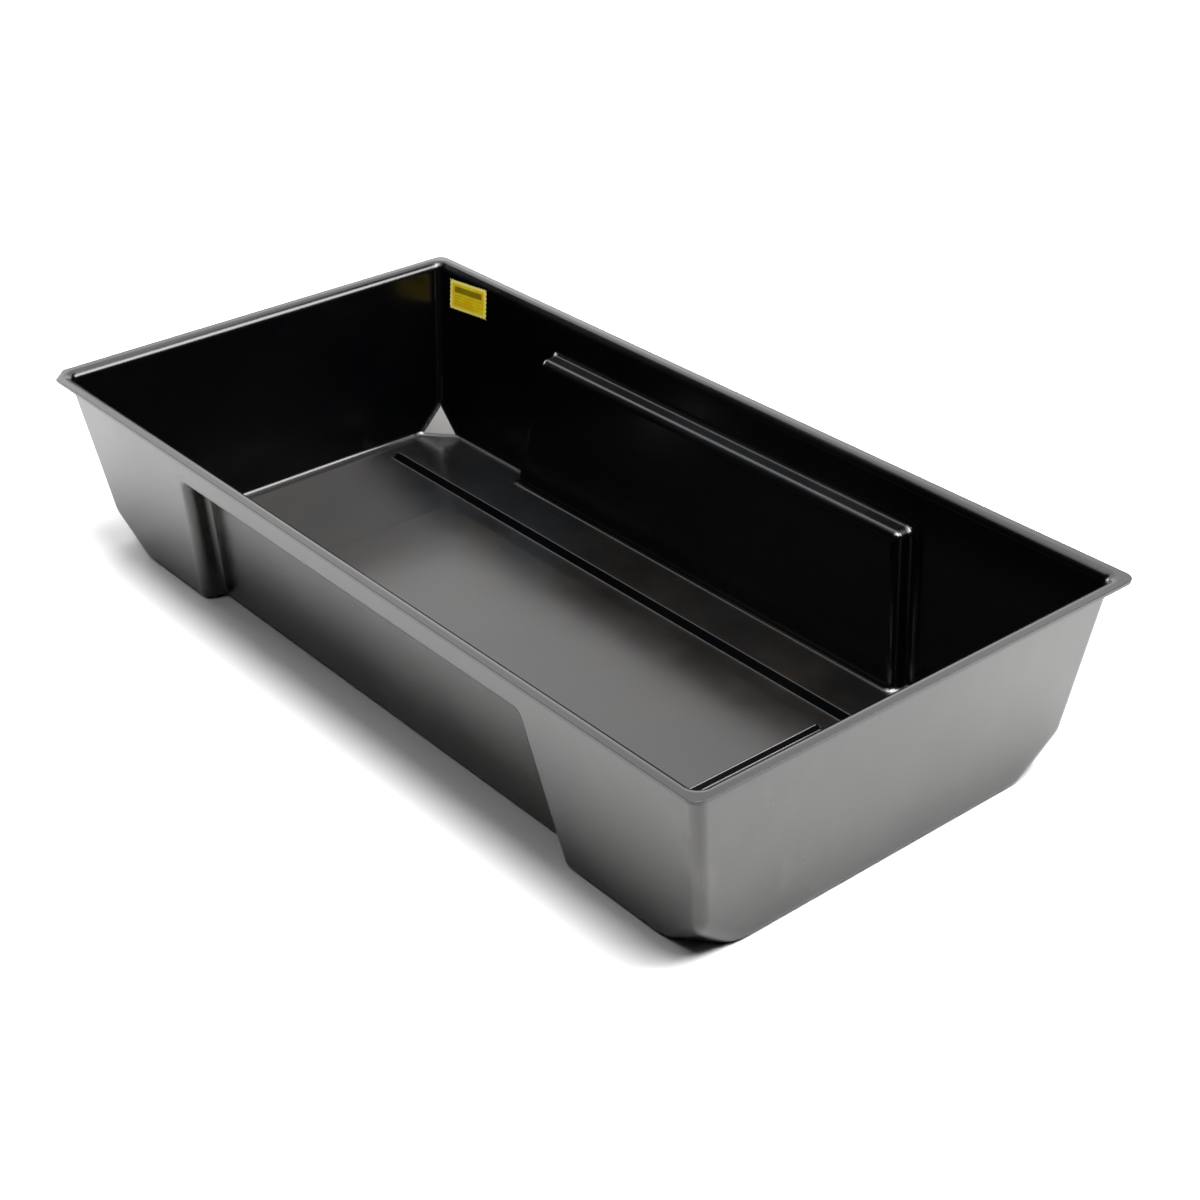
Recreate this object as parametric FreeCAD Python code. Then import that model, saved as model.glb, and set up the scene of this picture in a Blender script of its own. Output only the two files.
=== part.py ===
import FreeCAD, Part

import math
import os

# A large black reservoir tray, vacuum formed from one plastic sheet, with one vinyl label.
# Frame: +X along the length, +Y across the width, +Z up. The origin is the centre of the
# underside, so the tray rests on z = 0. All sizes are in millimetres.

Vector = FreeCAD.Vector

# Overall envelope, over the rim flange
LENGTH = 1100.0
WIDTH = 551.0
HEIGHT = 213.5

# Sheet
WALL = 3.0            # drawn wall and floor thickness
FLANGE_THICKNESS = 4.0
FLANGE_WIDTH = 13.3     # overhang outside the walls, at the level of the rim
FLANGE_CORNER_R = 12.0
FLANGE_CLIP = 18.0      # the corner at -X, -Y is cut off straight instead
FLANGE_EDGE_R = 0.4
RIM_BEND_R = 11.0       # flange top turning down into the inside of the walls
RIM_ROOT_R = 7.5        # flange underside turning down into the outside of the walls

# Outer foot of the walls, measured in from the flange's outer edge
END_INSET = 41.8
SIDE_INSET = 44.4

# Rounding, for the outer skin and for the inner skin
CORNER_R = (12.0, 9.0)      # four upright corners
FACET_R = (26.0, 12.0)      # slanting edges of the bottom corner facets
FOOT_R = (7.0, 9.0)         # bottom edge all round
NOTCH_SIDE_R = (12.0, 9.5)  # where the ends of a side recess meet the wall
NOTCH_TOP_R = (5.0, 8.0)    # where the ceiling of a side recess meets the wall
NOTCH_ROOT_R = (7.5, 10.0)  # inside corners of a side recess

# Triangular facet that blunts each bottom corner, on the outer skin
FACET_LEG_X = 48.0
FACET_LEG_Y = 42.0
FACET_HEIGHT = 42.0

# Recess in each long wall: it stands inside the tray as a bump with a flat ledge on top
LEDGE_Z = 165.5            # ceiling of the recess on the outer skin
RECESS_FOOT_DEPTH = 22.8
RECESS_TOP_DEPTH = 23.5
RECESS_FOOT_HALF = 315.8   # half-length at the bottom of the recess's back wall
RECESS_SPLAY = 0.12        # growth in half-length per millimetre outwards
RECESS_TAPER = 0.163       # loss of half-length per millimetre of height

# Raised panel in the middle of the floor, on the inner skin
PANEL_HALF_LENGTH = 315.3
PANEL_HALF_WIDTH = 102.0
PANEL_RISE = 5.8
PANEL_SLOPE = 4.0          # plan width of its sloping edge
PANEL_CORNER_R = 5.0

# Stiffening rib along each side of the floor, on the inner skin
RIB_CENTRE_Y = 138.0
RIB_HALF_LENGTH = 467.5
RIB_TOP_HALF_WIDTH = 3.2
RIB_RISE = 7.5
RIB_SLOPE = 6.5
RIB_CORNER_R = 1.4

FLOOR_DETAIL_R = 2.2       # rounding of the panel's and ribs' edges

# Vinyl label on the inner face of the +Y wall
LABEL_X = -469.0
LABEL_Z = 184.0
LABEL_LENGTH = 76.0
LABEL_HEIGHT = 38.0
LABEL_TILT = 4.8           # degrees, +X end higher
LABEL_FILM = 0.2
LABEL_TOOTH = 5.4          # pitch of the pinked edge
LABEL_TOOTH_DEPTH = 2.0

# Derived sizes of the outer skin
FOOT_X = LENGTH / 2 - END_INSET
FOOT_Y = WIDTH / 2 - SIDE_INSET
END_RUN = (END_INSET - FLANGE_WIDTH) / HEIGHT
SIDE_RUN = (SIDE_INSET - FLANGE_WIDTH) / HEIGHT
RECESS_Y = FOOT_Y - RECESS_FOOT_DEPTH
RECESS_RUN = SIDE_RUN + (RECESS_FOOT_DEPTH - RECESS_TOP_DEPTH) / LEDGE_Z

BELOW = 20.0   # how far cutting solids reach past the faces they cut
TINY = 1e-4


def frustum(lower, upper, z_lower, z_upper):
    """Solid with flat faces between two polygons of (x, y) points at two heights.

    Both polygons run anticlockwise, so that every face looks outwards.
    """
    low = [Vector(x, y, z_lower) for x, y in lower]
    high = [Vector(x, y, z_upper) for x, y in upper]
    loops = [low[::-1], high]
    for i in range(len(low)):
        j = (i + 1) % len(low)
        loops.append([low[i], low[j], high[j], high[i]])
    shell = Part.Shell([Part.Face(Part.makePolygon(loop + loop[:1])) for loop in loops])
    shell.sewShape()
    return Part.Solid(shell)


def rectangle(half_x, half_y, centre_y=0.0):
    """Corner points of a rectangle centred on x = 0."""
    return [
        (-half_x, centre_y - half_y),
        (half_x, centre_y - half_y),
        (half_x, centre_y + half_y),
        (-half_x, centre_y + half_y),
    ]


def along(run, inset):
    """Horizontal shift of a drafted plane that moves in by inset along its normal."""
    return inset * math.sqrt(1.0 + run * run)


def drafted_block(inset, top):
    """Wall block without any detail, its faces moved in from the outer skin by inset."""
    outlines = []
    for z in (inset, top):
        half_x = FOOT_X + END_RUN * z - along(END_RUN, inset)
        half_y = FOOT_Y + SIDE_RUN * z - along(SIDE_RUN, inset)
        outlines.append(rectangle(half_x, half_y))
    return frustum(outlines[0], outlines[1], inset, top)


def corner_cutter(side_x, side_y, inset):
    """Box whose lower face lies on the facet plane of one bottom corner."""
    on_side = Vector(side_x * (FOOT_X - FACET_LEG_X), side_y * FOOT_Y, 0)
    on_end = Vector(side_x * FOOT_X, side_y * (FOOT_Y - FACET_LEG_Y), 0)
    apex = Vector(
        side_x * (FOOT_X + END_RUN * FACET_HEIGHT),
        side_y * (FOOT_Y + SIDE_RUN * FACET_HEIGHT),
        FACET_HEIGHT,
    )
    normal = (on_end - on_side).cross(apex - on_side)
    normal.normalize()
    if normal.z > 0:
        normal = -normal
    centre = (on_side + on_end + apex) / 3.0 - normal * inset
    size = 4.0 * FACET_LEG_X
    box = Part.makeBox(size, size, size, Vector(-size / 2, -size / 2, 0))
    box.Placement = FreeCAD.Placement(centre, FreeCAD.Rotation(Vector(0, 0, 1), normal))
    return box


def recess_half_length(y, z, inset):
    """Half-length of the recess on its side plane, at a point of the +Y wall."""
    drop = RECESS_TAPER + RECESS_SPLAY * RECESS_RUN
    steepness = math.sqrt(1.0 + RECESS_SPLAY**2 + drop**2)
    return RECESS_FOOT_HALF + RECESS_SPLAY * (y - RECESS_Y) - drop * z + inset * steepness


def recess_cutter(side_y, inset, root_r):
    """Solid that sinks one side recess into the wall block."""
    outlines = []
    ceiling = LEDGE_Z + inset
    for z in (-BELOW, ceiling):
        back = RECESS_Y + RECESS_RUN * z - along(RECESS_RUN, inset)
        front = FOOT_Y + SIDE_RUN * z + BELOW
        half_back = recess_half_length(back, z, inset)
        half_front = recess_half_length(front, z, inset)
        outlines.append([
            (-half_back * side_y, side_y * back),
            (half_back * side_y, side_y * back),
            (half_front * side_y, side_y * front),
            (-half_front * side_y, side_y * front),
        ])
    cutter = frustum(outlines[0], outlines[1], -BELOW, ceiling)
    front_limit = side_y * (FOOT_Y + SIDE_RUN * -BELOW + BELOW)
    roots = []
    for edge in cutter.Edges:
        box = edge.BoundBox
        is_front = min(abs(box.YMin), abs(box.YMax)) > abs(front_limit) - TINY
        is_base = box.ZMax < -BELOW + TINY
        if not is_front and not is_base:
            roots.append(edge)
    return cutter.makeFillet(root_r, roots)


def raised_pad(half_length, half_width, centre_y, rise, slope, inset, corner_r):
    """Solid that lifts a flat-topped pad out of the floor, given its inner skin."""
    run = slope / rise
    shift = (WALL - inset) * math.sqrt(1.0 + run * run)
    top = inset + rise
    spread = run * (WALL - inset) - shift
    grow = run * (rise + BELOW)
    upper = rectangle(half_length + spread, half_width + spread, centre_y)
    lower = rectangle(half_length + spread + grow, half_width + spread + grow, centre_y)
    pad = frustum(lower, upper, inset - BELOW, top)
    uprights = [e for e in pad.Edges if e.BoundBox.ZLength > rise]
    pad = pad.makeFillet(corner_r, uprights)
    rims = [e for e in pad.Edges if e.BoundBox.ZMin > top - TINY]
    return pad.makeFillet(FLOOR_DETAIL_R, rims)


def floor_pads(inset):
    """The middle panel and the two side ribs."""
    pads = [raised_pad(PANEL_HALF_LENGTH, PANEL_HALF_WIDTH, 0.0, PANEL_RISE, PANEL_SLOPE,
                       inset, PANEL_CORNER_R)]
    for side_y in (-1, 1):
        pads.append(raised_pad(RIB_HALF_LENGTH, RIB_TOP_HALF_WIDTH, side_y * RIB_CENTRE_Y,
                               RIB_RISE, RIB_SLOPE, inset, RIB_CORNER_R))
    return pads


def fillet_by_edge(shape, radii):
    """Shape with rounded edges, given a radius for each edge number."""
    document = FreeCAD.newDocument("rounding")
    base = document.addObject("Part::Feature", "base")
    base.Shape = shape
    rounded = document.addObject("Part::Fillet", "rounded")
    rounded.Base = base
    rounded.Edges = [(number, radius, radius) for number, radius in radii.items()]
    document.recompute()
    result = rounded.Shape.copy()
    FreeCAD.closeDocument(document.Name)
    return result


def skin(layer, top):
    """Solid filled up to one skin of the tray: layer 0 is the outer skin, 1 the inner one."""
    inset = WALL * layer
    block = drafted_block(inset, top)
    for side_x in (-1, 1):
        for side_y in (-1, 1):
            block = block.cut(corner_cutter(side_x, side_y, inset))
    slanting = [e for e in block.Edges if 1.0 < e.BoundBox.ZLength < HEIGHT / 2]
    block = block.makeFillet(FACET_R[layer], slanting)
    upright = [e for e in block.Edges if e.BoundBox.ZLength > HEIGHT / 2]
    block = block.makeFillet(CORNER_R[layer], upright)

    for side_y in (-1, 1):
        block = block.cut(recess_cutter(side_y, inset, NOTCH_ROOT_R[layer]))
    radii = {}
    for i, edge in enumerate(block.Edges):
        if is_on_recess_mouth(edge, inset):
            upright = edge.BoundBox.ZLength > LEDGE_Z / 2
            radii[i + 1] = (NOTCH_SIDE_R if upright else NOTCH_TOP_R)[layer]
    block = fillet_by_edge(block, radii)

    foot = [e for e in block.Edges if e.BoundBox.ZMax < inset + TINY]
    block = block.makeFillet(FOOT_R[layer], foot)

    for pad in floor_pads(inset):
        before = {point_key(v.Point) for v in block.Vertexes}
        block = block.cut(pad)
        feet = []
        for edge in block.Edges:
            flat = edge.BoundBox.ZMax < inset + TINY
            if flat and all(point_key(v.Point) not in before for v in edge.Vertexes):
                feet.append(edge)
        block = block.makeFillet(FLOOR_DETAIL_R, feet)
    return block


def point_key(point):
    """Rounded position, to tell the vertices of two shapes apart."""
    return (round(point.x, 3), round(point.y, 3), round(point.z, 3))


def is_on_recess_mouth(edge, inset):
    """True for an edge where a recess meets the outer face of its long wall."""
    for i in range(5):
        parameter = edge.FirstParameter + (edge.LastParameter - edge.FirstParameter) * i / 4
        point = edge.valueAt(parameter)
        wall_y = FOOT_Y + SIDE_RUN * point.z - along(SIDE_RUN, inset)
        if abs(abs(point.y) - wall_y) > 0.01:
            return False
    middle = edge.valueAt((edge.FirstParameter + edge.LastParameter) / 2)
    long_enough = edge.BoundBox.DiagonalLength > 0.5
    below_top = middle.z < LEDGE_Z + inset + 1.0
    off_floor = edge.BoundBox.ZMax > inset + 1.0
    return long_enough and below_top and off_floor and abs(middle.x) < RECESS_FOOT_HALF + 30.0


def flange():
    """Flat rim plate, solid in the middle, with three round corners and one clipped."""
    plate = Part.makeBox(LENGTH, WIDTH, FLANGE_THICKNESS,
                         Vector(-LENGTH / 2, -WIDTH / 2, HEIGHT - FLANGE_THICKNESS))
    uprights = [e for e in plate.Edges if e.BoundBox.ZLength > FLANGE_THICKNESS - TINY]
    round_ones = [e for e in uprights if e.BoundBox.XMax > 0 or e.BoundBox.YMax > 0]
    plate = plate.makeFillet(FLANGE_CORNER_R, round_ones)
    clipped = [e for e in plate.Edges
               if e.BoundBox.XMax < TINY - LENGTH / 2 and e.BoundBox.YMax < TINY - WIDTH / 2]
    plate = plate.makeChamfer(FLANGE_CLIP, clipped)
    rims = [e for e in plate.Edges if e.BoundBox.ZLength < TINY]
    return plate.makeFillet(FLANGE_EDGE_R, rims)


def level_loop(shape, level):
    """Edges at one height that run along the top of the walls, inside the flange's edge."""
    loop = []
    for edge in shape.Edges:
        box = edge.BoundBox
        level_edge = abs(box.ZMin - level) < TINY and abs(box.ZMax - level) < TINY
        reach_x = max(abs(box.XMin), abs(box.XMax))
        reach_y = max(abs(box.YMin), abs(box.YMax))
        inside = reach_x < LENGTH / 2 - FLANGE_WIDTH and reach_y < WIDTH / 2 - FLANGE_WIDTH
        if level_edge and inside:
            loop.append(edge)
    return loop


def tray_shell():
    """The vacuum-formed sheet: outer skin and flange, hollowed by the inner skin."""
    outer = skin(0, HEIGHT - FLANGE_THICKNESS / 2).fuse(flange())
    outer = outer.makeFillet(RIM_ROOT_R, level_loop(outer, HEIGHT - FLANGE_THICKNESS))
    shell = outer.cut(skin(1, HEIGHT + BELOW))
    return shell.makeFillet(RIM_BEND_R, level_loop(shell, HEIGHT))


def pinked_outline(length, height):
    """Rectangle outline whose sides are a row of small teeth."""
    points = []
    corners = [(-length / 2, -height / 2), (length / 2, -height / 2),
               (length / 2, height / 2), (-length / 2, height / 2)]
    for i in range(4):
        x0, y0 = corners[i]
        x1, y1 = corners[(i + 1) % 4]
        side = math.hypot(x1 - x0, y1 - y0)
        teeth = round(side / LABEL_TOOTH)
        inward = (-(y1 - y0) / side, (x1 - x0) / side)
        for k in range(2 * teeth):
            t = k / (2.0 * teeth)
            depth = LABEL_TOOTH_DEPTH if k % 2 else 0.0
            points.append((x0 + (x1 - x0) * t + inward[0] * depth,
                           y0 + (y1 - y0) * t + inward[1] * depth))
    return points


def adhesive_label():
    """Thin printed film that lies on the inner face of the +Y wall."""
    points = [Vector(x, y, 0) for x, y in pinked_outline(LABEL_LENGTH, LABEL_HEIGHT)]
    film = Part.Face(Part.makePolygon(points + points[:1])).extrude(Vector(0, 0, LABEL_FILM))
    film.rotate(Vector(0, 0, 0), Vector(0, 0, 1), LABEL_TILT)
    # film plane: local +X stays +X, local +Y climbs the wall, local +Z faces into the tray
    lean = math.degrees(math.atan(SIDE_RUN))
    film.rotate(Vector(0, 0, 0), Vector(1, 0, 0), 90.0 - lean)
    wall_y = FOOT_Y + SIDE_RUN * LABEL_Z - along(SIDE_RUN, WALL)
    film.translate(Vector(LABEL_X, wall_y, LABEL_Z))
    return film


def main():
    os.makedirs("parts", exist_ok=True)
    for name, shape in (("tray_shell", tray_shell()), ("adhesive_label", adhesive_label())):
        box = shape.optimalBoundingBox()
        print(name, shape.isValid(), len(shape.Solids), "solid", round(shape.Volume / 1000.0, 1),
              "cm3", [round(v, 2) for v in (box.XMin, box.XMax, box.YMin, box.YMax, box.ZMin, box.ZMax)])
        shape.exportStep("parts/" + name + ".step")


main()
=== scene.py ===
import math

import bpy
from mathutils import Euler, Matrix, Vector


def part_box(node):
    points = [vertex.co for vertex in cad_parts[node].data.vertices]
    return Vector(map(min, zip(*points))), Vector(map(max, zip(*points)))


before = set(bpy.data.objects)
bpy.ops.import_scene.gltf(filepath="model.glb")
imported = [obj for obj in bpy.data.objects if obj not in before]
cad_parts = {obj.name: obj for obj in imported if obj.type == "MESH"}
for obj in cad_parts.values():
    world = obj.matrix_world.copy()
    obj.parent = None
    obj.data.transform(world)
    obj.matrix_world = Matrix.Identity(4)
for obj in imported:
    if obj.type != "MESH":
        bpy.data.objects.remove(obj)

# A long black vacuum-formed reservoir tray on a plain pale studio floor.
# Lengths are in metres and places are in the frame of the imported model.

scene = bpy.context.scene
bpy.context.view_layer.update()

# Camera: its place, the way its back points and its roll in degrees, its lens and film in millimetres
CAMERA_PLACE = Vector((1.5673, -1.1939, 1.2045))
CAMERA_AZIMUTH = 50.942
CAMERA_ELEVATION = 30.349
CAMERA_ROLL = -1.059
CAMERA_LENS = 63.96
FILM_WIDTH = 36.0
CLIP_NEAR, CLIP_FAR = 0.05, 100.0

# Soft round lamps that point at the tray: azimuth and elevation in degrees, diameter in metres, watts.
# The powers started from a fit of the render's brightness to the photo's and were rounded.
# The small front_spot stands where the far bottom corner mirrors it towards the camera.
LAMPS = {
    "overhead": (0, 90, 1.6, 84),
    "overhead_wide": (270, 86, 3.0, 46),
    "right_high": (90, 70, 1.6, 138),
    "back_key": (135, 50, 1.6, 102),
    "left_low": (270, 14, 1.6, 50),
    "back_panel": (230, 38, 3.0, 52),
    "back_low": (225, 8, 2.0, 5),
    "front_spot": (357, 65, 0.42, 7),
}
LAMP_DISTANCE = 3.0

# Stage
FLOOR_SIZE = 60.0
FLOOR_COLOUR = (0.85, 0.85, 0.85, 1)
FLOOR_ROUGHNESS = (0.85, 0.95)
GLOW_START, GLOW_FULL = 1.6, 3.6    # the floor gives a little light of its own away from the tray
PALE = (1, 1, 1, 1)

# Sheet: one black plastic, glossy on the open side and satin on the mould side
PLASTIC_IOR = 1.5
GLOSS_TINT = (1.0, 0.975, 0.965, 1)
GLOSS_ROUGHNESS = (0.17, 0.23)
GLOSS_BLACK = (0.0003, 0.0004, 0.0006, 1)
# Colours of the lifted level faces inside: partly dust and partly painted light that makes the level
# faces lighter as if lit from above
WARM_DUST_AND_PAINTED_LIGHT = (0.0058, 0.0050, 0.0040, 1)
COOL_DUST_AND_PAINTED_LIGHT = (0.0036, 0.0042, 0.0048, 1)
SATIN_TINT = (1.0, 0.985, 0.965, 1)
SATIN_ROUGHNESS = (0.18, 0.23)
SATIN_BLACK = (0.0008, 0.0008, 0.001, 1)
RUBBED_GREY = (0.021, 0.020, 0.0185, 1)
MARK_DIRECTIONS = (((0.3, 0.2, 0.5), 90.0), ((0.1, 0.4, -0.9), 70.0))    # turn and spread
FACE_LIFT = 0.0005    # the test for material overhead starts this far off a face

# Label: it lies on the leaning far wall, and it was stuck on a little askew. Angles are in degrees.
WALL_LEAN = 8.3
LABEL_TILT = 4.8
PANEL_HALF_WIDTH, PANEL_HALF_HEIGHT = 0.0325, 0.0150
PRINT_LEFT, PRINT_RIGHT = -0.028, 0.028
PRINT_EDGE = 0.0003
HEADER_BOTTOM, HEADER_TOP = 0.0035, 0.0115
HEADER_STRENGTH = 0.78
LINE_COUNT = 4
FIRST_LINE, LINE_STEP = -0.0010, 0.0036
LINE_HEIGHT = 0.0014
LINE_SHORTENED = 0.005    # every second line ends this much earlier
LINE_STRENGTH = 0.3
PAPER_DULL, PAPER_CLEAN = (0.66, 0.55, 0.10, 1), (0.78, 0.68, 0.18, 1)
YELLOW_DEEP, YELLOW_LIGHT = (0.62, 0.40, 0.003, 1), (0.60, 0.50, 0.006, 1)
INK = (0.08, 0.055, 0.001, 1)
LABEL_ROUGHNESS = (0.3, 0.45)


def towards(azimuth, elevation):
    """Unit vector from the origin towards a direction: azimuth 0 is -Y and 90 is +X."""
    turn, rise = math.radians(azimuth), math.radians(elevation)
    return Vector((math.sin(turn) * math.cos(rise), -math.cos(turn) * math.cos(rise), math.sin(rise)))


def add_camera():
    """Camera at the viewing angle, a little rolled."""
    back = towards(CAMERA_AZIMUTH, CAMERA_ELEVATION)
    level = (-back).cross(Vector((0, 0, 1))).normalized()
    upright = level.cross(-back)
    roll = math.radians(CAMERA_ROLL)
    right = level * math.cos(roll) + upright * math.sin(roll)
    up = upright * math.cos(roll) - level * math.sin(roll)
    data = bpy.data.cameras.new("camera")
    data.lens = CAMERA_LENS
    data.sensor_width = FILM_WIDTH
    data.clip_start, data.clip_end = CLIP_NEAR, CLIP_FAR
    camera = bpy.data.objects.new("camera", data)
    turned = Matrix((right, up, back)).transposed().to_4x4()
    camera.matrix_world = Matrix.Translation(CAMERA_PLACE) @ turned
    scene.collection.objects.link(camera)
    scene.camera = camera


class Graph:
    """A material and short ways to add nodes to it."""

    def __init__(self, name):
        self.material = bpy.data.materials.new(name)
        self.material.use_nodes = True
        self.tree = self.material.node_tree
        self.shader = self.tree.nodes["Principled BSDF"]

    def feed(self, socket, value):
        """Joins a node's output to a socket, or sets the socket to a plain value."""
        if isinstance(value, bpy.types.NodeSocket):
            self.tree.links.new(value, socket)
        else:
            socket.default_value = value

    def add(self, kind, inputs, **settings):
        """New node of a kind. Inputs are by name or number."""
        node = self.tree.nodes.new("ShaderNode" + kind)
        for name, value in settings.items():
            setattr(node, name, value)
        for key, value in inputs.items():
            self.feed(node.inputs[key], value)
        return node

    def shade(self, **values):
        """Sets the shader's own sockets. Underscores stand for spaces."""
        for name, value in values.items():
            self.feed(self.shader.inputs[name.replace("_", " ")], value)

    def place(self):
        """Place on the object, in metres."""
        return self.add("TexCoord", {}).outputs["Object"]

    def sums(self, operation, *values):
        """One step of arithmetic."""
        return self.add("Math", dict(enumerate(values)), operation=operation).outputs[0]

    def between(self, value, low, high, to_low=0.0, to_high=1.0):
        """Value eased from one range to another and held at its ends."""
        return self.add("MapRange", {"Value": value, "From Min": low, "From Max": high,
                                     "To Min": to_low, "To Max": to_high},
                        interpolation_type="SMOOTHSTEP").outputs[0]

    def noise(self, vector, scale, detail=2.0, roughness=0.5):
        """Soft random pattern from 0 to 1, with features about 1 / scale metres across."""
        return self.add("TexNoise", {"Vector": vector, "Scale": scale, "Detail": detail,
                                     "Roughness": roughness}).outputs[0]

    def blend(self, share, first, second):
        """Mix of two colours."""
        node = self.add("Mix", {0: share}, data_type="RGBA")
        self.feed(node.inputs[6], first)
        self.feed(node.inputs[7], second)
        return node.outputs[2]

    def stretched(self, vector, scale, turn=(0, 0, 0)):
        """Coordinates turned and scaled by axis, to draw a pattern out in one direction."""
        return self.add("Mapping", {"Vector": vector, "Rotation": turn, "Scale": scale}).outputs[0]

    def bump(self, height, distance, normal=None):
        """Relief from a height pattern, at a depth in metres."""
        inputs = {"Height": height, "Strength": 1.0, "Distance": distance}
        if normal is not None:
            inputs["Normal"] = normal
        return self.add("Bump", inputs).outputs[0]


def scratches(graph, place):
    """Thin short straight marks in two directions, from 0 to 1."""
    marks = None
    for turn, spread in MARK_DIRECTIONS:
        drawn = graph.stretched(place, (0.05 * spread, spread * 6.0, spread * 6.0), turn)
        line = graph.between(graph.noise(drawn, scale=1.0, detail=1.0), 0.71, 0.76)
        patch = graph.between(graph.noise(place, scale=9.0, detail=1.0), 0.5, 0.62)
        line = graph.sums("MULTIPLY", line, patch)
        marks = line if marks is None else graph.sums("MAXIMUM", marks, line)
    return marks


def gloss_inside():
    """Smooth side of the sheet: deep black with a soft gloss; its level parts are lighter, partly from
    dust and partly painted light as if lit from above.
    """
    graph = Graph("sheet_gloss_side")
    place = graph.place()
    facing = graph.add("NewGeometry", {}).outputs["Normal"]
    upward = graph.between(graph.add("SeparateXYZ", {0: facing}).outputs["Z"], 0.7, 1.0)
    marks = graph.sums("MULTIPLY", upward, scratches(graph, place))
    cloud = graph.noise(place, scale=5.0, detail=5.0, roughness=0.6)
    # Level faces are painted lighter all over and more in patches: partly dust, partly painted light
    # standing in for the light they catch from above.
    dust_and_painted_light = graph.sums("MULTIPLY", upward, graph.between(cloud, 0.3, 0.75, 0.35, 1.0))
    dust_and_painted_light = graph.sums("ADD", dust_and_painted_light, graph.sums("MULTIPLY", marks, 0.3))
    hue = graph.between(graph.noise(place, scale=3.0, detail=3.0), 0.4, 0.6)
    colour = graph.blend(dust_and_painted_light, GLOSS_BLACK, graph.blend(hue, WARM_DUST_AND_PAINTED_LIGHT, COOL_DUST_AND_PAINTED_LIGHT))
    rough = graph.between(cloud, 0.3, 0.7, *GLOSS_ROUGHNESS)
    rough = graph.sums("ADD", rough, graph.sums("MULTIPLY", marks, 0.06))
    waves = graph.bump(graph.noise(place, scale=6.0, detail=1.0), 0.0006)
    grain = graph.bump(graph.noise(place, scale=900.0), 0.000006, waves)
    graph.shade(Base_Color=colour, Roughness=rough, Normal=grain)
    graph.shade(IOR=PLASTIC_IOR, Specular_Tint=GLOSS_TINT)
    return graph.material


def satin_outside():
    """Mould side of the sheet: black with a fine satin grain, smudges and rub marks."""
    graph = Graph("sheet_satin_side")
    place = graph.place()
    marks = scratches(graph, place)
    cloud = graph.noise(place, scale=6.0, detail=5.0, roughness=0.6)
    upright = graph.stretched(place, (1, 1, 0.45))
    smudge = graph.between(graph.noise(upright, scale=34.0), 0.60, 0.74)
    fine = graph.between(graph.noise(place, scale=240.0, detail=3.0, roughness=0.7), 0.35, 0.7, 0.0, 0.3)
    haze = graph.between(cloud, 0.38, 0.66, 0.0, 0.5)
    pale = graph.sums("ADD", haze, graph.sums("MULTIPLY", marks, 0.6))
    pale = graph.sums("ADD", graph.sums("ADD", pale, fine), graph.sums("MULTIPLY", smudge, 0.6))
    colour = graph.blend(pale, SATIN_BLACK, RUBBED_GREY)
    rough = graph.between(cloud, 0.3, 0.7, *SATIN_ROUGHNESS)
    rough = graph.sums("ADD", rough, graph.sums("MULTIPLY", marks, 0.1))
    waves = graph.bump(graph.noise(place, scale=7.0), 0.0011)
    grain = graph.bump(graph.noise(place, scale=700.0, detail=3.0, roughness=0.6), 0.00001, waves)
    graph.shade(Base_Color=colour, Roughness=rough, Normal=grain)
    graph.shade(IOR=PLASTIC_IOR, Specular_Tint=SATIN_TINT)
    return graph.material


def dress_tray():
    """Gives the open side of the sheet one finish and the outside another."""
    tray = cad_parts["tray_shell"]
    tray.data.materials.clear()
    tray.data.materials.append(gloss_inside())
    tray.data.materials.append(satin_outside())
    for face in tray.data.polygons:
        start = face.center + face.normal * FACE_LIFT
        covered = tray.ray_cast(start, Vector((0, 0, 1)))[0]
        face.material_index = 1 if covered else 0


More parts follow.
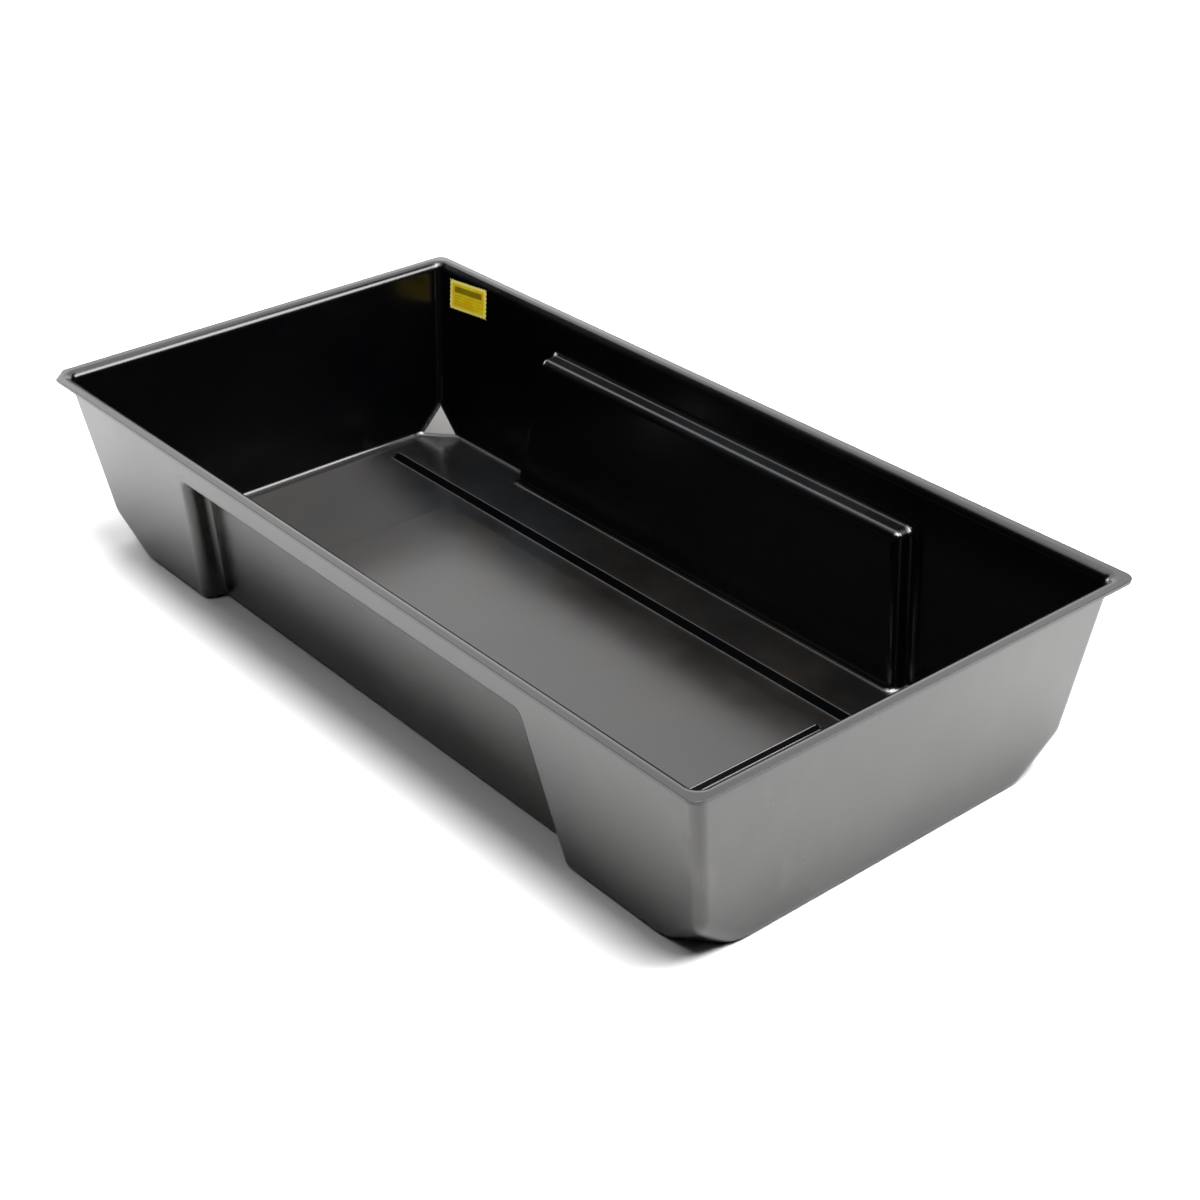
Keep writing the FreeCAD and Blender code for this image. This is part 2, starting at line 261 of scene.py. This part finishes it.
def label_print():
    """Yellow film with a plain bar and a few thin lines in place of any wording."""
    low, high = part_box("adhesive_label")
    graph = Graph("printed_film")
    place = graph.place()
    lean = math.radians(90 - WALL_LEAN)
    tilt = math.radians(LABEL_TILT)
    turn = (Euler((lean, 0, 0)).to_matrix() @ Euler((0, 0, tilt)).to_matrix()).to_euler()
    local = graph.add("Mapping", {"Vector": place, "Location": (low + high) / 2, "Rotation": turn},
                      vector_type="TEXTURE").outputs[0]
    axes = graph.add("SeparateXYZ", {0: local}).outputs
    along, up = axes["X"], axes["Y"]

    def bar(left, right, bottom, top):
        """Upright rectangle on the film: 1 inside it and 0 outside."""
        sides = graph.sums("MULTIPLY", graph.between(along, left, left + PRINT_EDGE),
                           graph.between(along, right, right - PRINT_EDGE))
        ends = graph.sums("MULTIPLY", graph.between(up, bottom, bottom + PRINT_EDGE),
                          graph.between(up, top, top - PRINT_EDGE))
        return graph.sums("MULTIPLY", sides, ends)

    header = bar(PRINT_LEFT, PRINT_RIGHT, HEADER_BOTTOM, HEADER_TOP)
    ink = graph.sums("MULTIPLY", header, HEADER_STRENGTH)
    for row in range(LINE_COUNT):
        bottom = FIRST_LINE - LINE_STEP * row
        right = PRINT_RIGHT - LINE_SHORTENED * (row % 2)
        line = bar(PRINT_LEFT, right, bottom, bottom + LINE_HEIGHT)
        ink = graph.sums("MAXIMUM", ink, graph.sums("MULTIPLY", line, LINE_STRENGTH))
    panel = bar(-PANEL_HALF_WIDTH, PANEL_HALF_WIDTH, -PANEL_HALF_HEIGHT, PANEL_HALF_HEIGHT)
    wear = graph.noise(place, scale=160.0, detail=4.0, roughness=0.6)
    paper = graph.blend(wear, PAPER_DULL, PAPER_CLEAN)
    patches = graph.between(graph.noise(place, scale=70.0), 0.4, 0.6)
    yellow = graph.blend(patches, YELLOW_DEEP, YELLOW_LIGHT)
    colour = graph.blend(ink, graph.blend(panel, paper, yellow), INK)
    graph.shade(Base_Color=colour, Roughness=graph.between(wear, 0.2, 0.8, *LABEL_ROUGHNESS),
                Normal=graph.bump(graph.noise(place, scale=60.0), 0.0002))
    return graph.material


def dress_label():
    """Printed film on the label node."""
    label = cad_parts["adhesive_label"]
    label.data.materials.clear()
    label.data.materials.append(label_print())


def floor_paper():
    """Pale matt paper that stays pale a long way out."""
    graph = Graph("floor_paper")
    place = graph.place()
    distance = graph.add("VectorMath", {0: place}, operation="LENGTH").outputs["Value"]
    fibre = graph.noise(place, scale=300.0, detail=3.0)
    graph.shade(Base_Color=FLOOR_COLOUR, Roughness=graph.between(fibre, 0.2, 0.8, *FLOOR_ROUGHNESS),
                Emission_Color=PALE, Emission_Strength=graph.between(distance, GLOW_START, GLOW_FULL))
    return graph.material


def add_stage():
    """Floor, which isn't part of the object, and a pale background above the horizon."""
    half = FLOOR_SIZE / 2
    mesh = bpy.data.meshes.new("floor")
    mesh.from_pydata([(-half, -half, 0), (half, -half, 0), (half, half, 0), (-half, half, 0)], [],
                     [(0, 1, 2, 3)])
    mesh.materials.append(floor_paper())
    floor = bpy.data.objects.new("floor", mesh)
    scene.collection.objects.link(floor)
    world = bpy.data.worlds.new("studio")
    world.use_nodes = True
    nodes, links = world.node_tree.nodes, world.node_tree.links
    nodes["Background"].inputs["Color"].default_value = PALE
    links.new(nodes.new("ShaderNodeLightPath").outputs["Is Camera Ray"],
              nodes["Background"].inputs["Strength"])
    scene.world = world


def add_lamps():
    """Soft round lamps that all point at the tray."""
    for name, (azimuth, elevation, diameter, power) in LAMPS.items():
        data = bpy.data.lights.new(name, "AREA")
        data.shape = "DISK"
        data.size = diameter
        data.energy = power
        lamp = bpy.data.objects.new(name, data)
        back = towards(azimuth, elevation)
        lamp.location = back * LAMP_DISTANCE
        lamp.rotation_mode = "QUATERNION"
        lamp.rotation_quaternion = back.to_track_quat("Z", "Y")
        lamp.visible_camera = False
        scene.collection.objects.link(lamp)


add_camera()
add_stage()
add_lamps()
dress_tray()
dress_label()
scene.view_settings.view_transform = "Standard"
